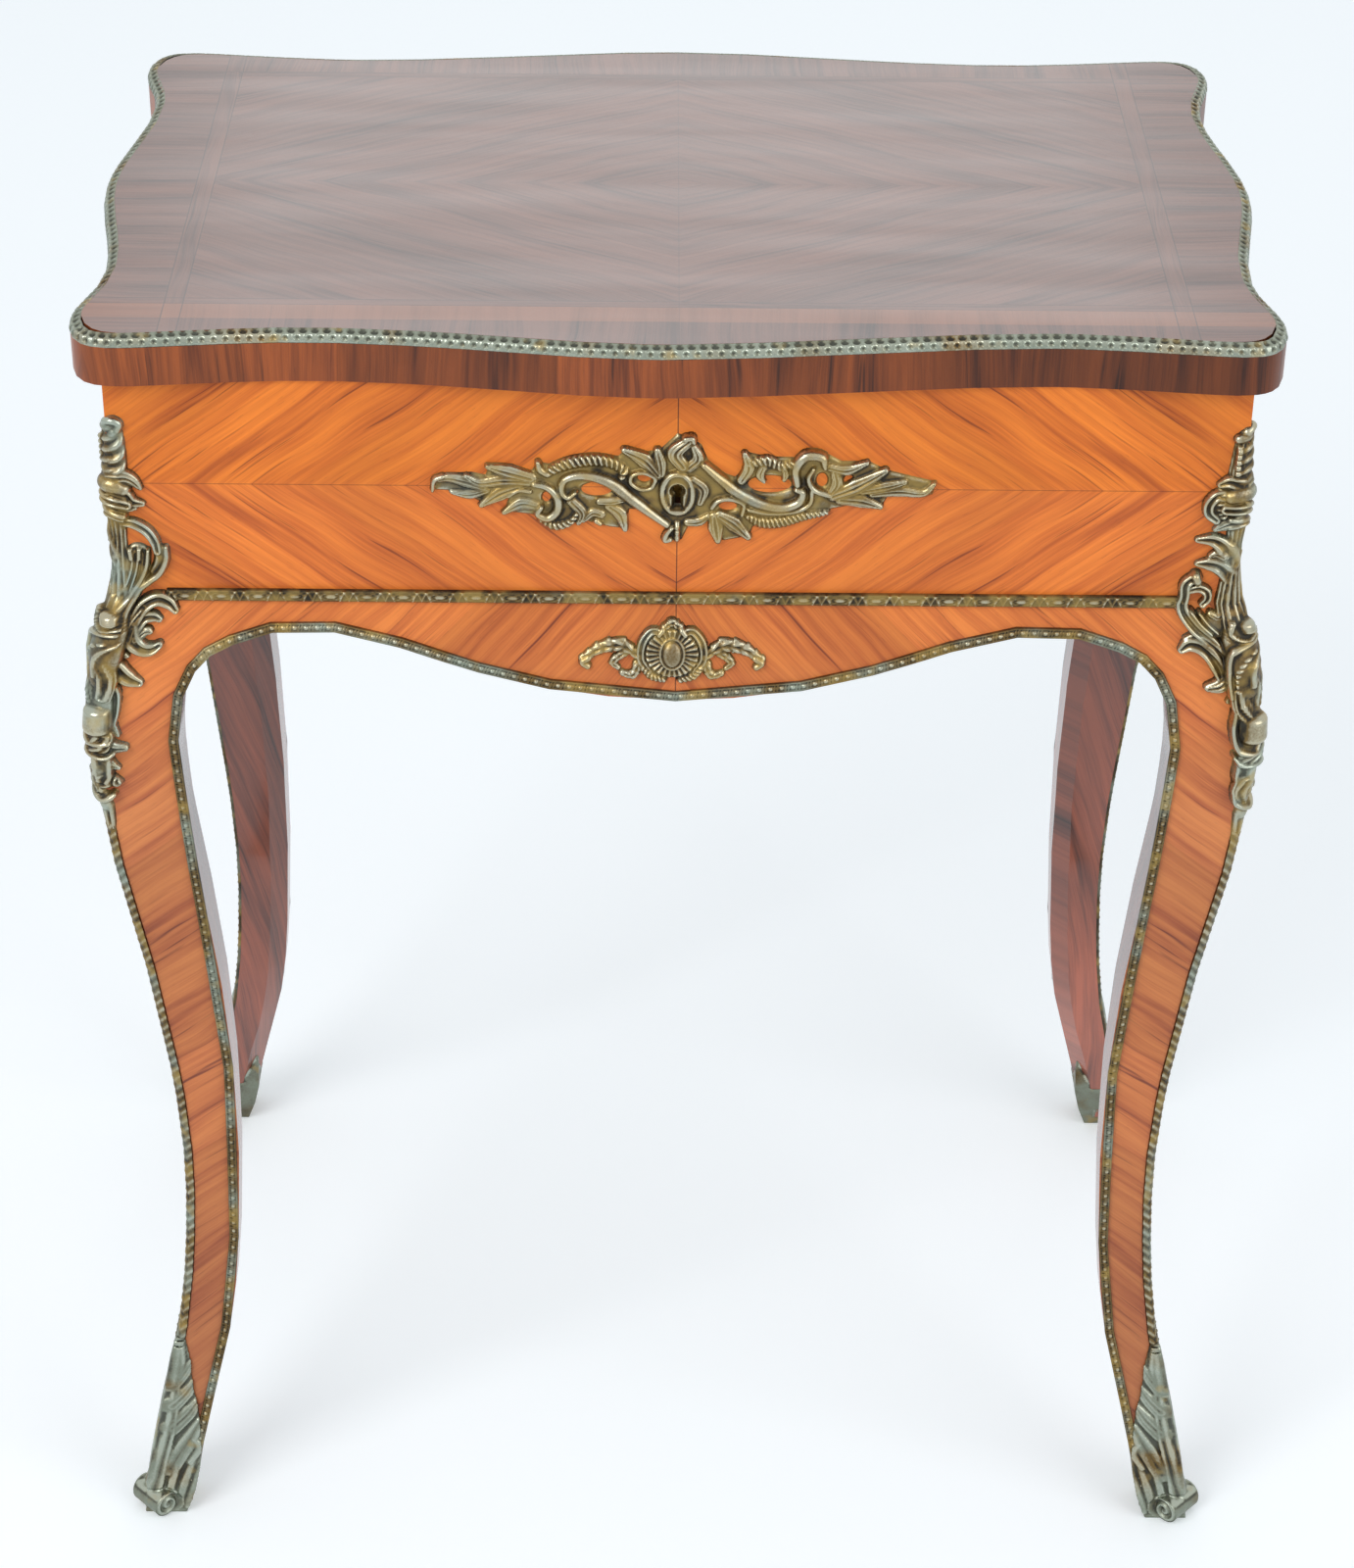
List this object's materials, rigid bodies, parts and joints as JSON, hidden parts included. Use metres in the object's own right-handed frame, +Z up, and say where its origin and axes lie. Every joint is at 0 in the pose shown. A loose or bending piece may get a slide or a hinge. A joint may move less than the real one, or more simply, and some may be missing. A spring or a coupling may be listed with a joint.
{
  "type": "dressing table",
  "caption": "Small free-standing dressing table on cabriole legs, with a hinged serpentine lid over one well, veneer and gilt brass mounts.",
  "frame": {"origin": "on the floor under the middle of the table", "axes": "+Z up, the front with the keyhole faces -Y, +X to the right as seen from the front"},
  "size_m": [0.6174, 0.409, 0.74],
  "materials": {
    "dark_veneer": "polished",
    "tulipwood_veneer": "polished",
    "lining_wood": "satin",
    "gilt_brass": "antique",
    "plain_brass": "satin",
    "steel": "brushed",
    "mirror_glass": "polished"
  },
  "bodies": {
    "table": {"apron_cartouche": "gilt_brass", "arris_moulding_front_left": "gilt_brass", "arris_moulding_front_right": "gilt_brass", "arris_moulding_rear_left": "gilt_brass", "arris_moulding_rear_right": "gilt_brass", "corner_mount_front_left": "gilt_brass", "corner_mount_front_right": "gilt_brass", "corner_mount_rear_left": "gilt_brass", "corner_mount_rear_right": "gilt_brass", "front_apron": "tulipwood_veneer", "front_bead_strip": "gilt_brass", "front_edge_moulding": "gilt_brass", "front_panel": "tulipwood_veneer", "hinge_leaf_box_left": "plain_brass", "hinge_leaf_box_right": "plain_brass", "hinge_pin_left": "steel", "hinge_pin_right": "steel", "keyhole_escutcheon": "gilt_brass", "left_apron": "tulipwood_veneer", "left_bead_strip": "gilt_brass", "left_edge_moulding": "gilt_brass", "left_panel": "tulipwood_veneer", "leg_front_left": "tulipwood_veneer", "leg_front_right": "tulipwood_veneer", "leg_rear_left": "tulipwood_veneer", "leg_rear_right": "tulipwood_veneer", "lock_case": "plain_brass", "lock_drill_pin": "steel", "rear_apron": "tulipwood_veneer", "rear_bead_strip": "gilt_brass", "rear_edge_moulding": "gilt_brass", "rear_panel": "tulipwood_veneer", "right_apron": "tulipwood_veneer", "right_bead_strip": "gilt_brass", "right_edge_moulding": "gilt_brass", "right_panel": "tulipwood_veneer", "sabot_front_left": "gilt_brass", "sabot_front_right": "gilt_brass", "sabot_rear_left": "gilt_brass", "sabot_rear_right": "gilt_brass", "well_bottom": "lining_wood"},
    "lid": {"hinge_leaf_lid_left": "plain_brass", "hinge_leaf_lid_right": "plain_brass", "lid_edge_moulding": "gilt_brass", "lid_mirror": "mirror_glass", "lid_panel": "dark_veneer", "lock_link_plate": "plain_brass", "mirror_bead": "lining_wood"},
    "lock_bolt": {"lock_bolt": "steel"}
  },
  "joints": [
    {"name": "lid_hinge", "type": "hinge", "parent": "table", "child": "lid", "pos_m": [0, 0.1755, 0.71385], "axis": [-1, 0, 0], "range_deg": [0, 95]},
    {"name": "bolt_slide", "type": "slide", "parent": "table", "child": "lock_bolt", "axis": [1, 0, 0], "range_m": [0, 0.007]}
  ]
}
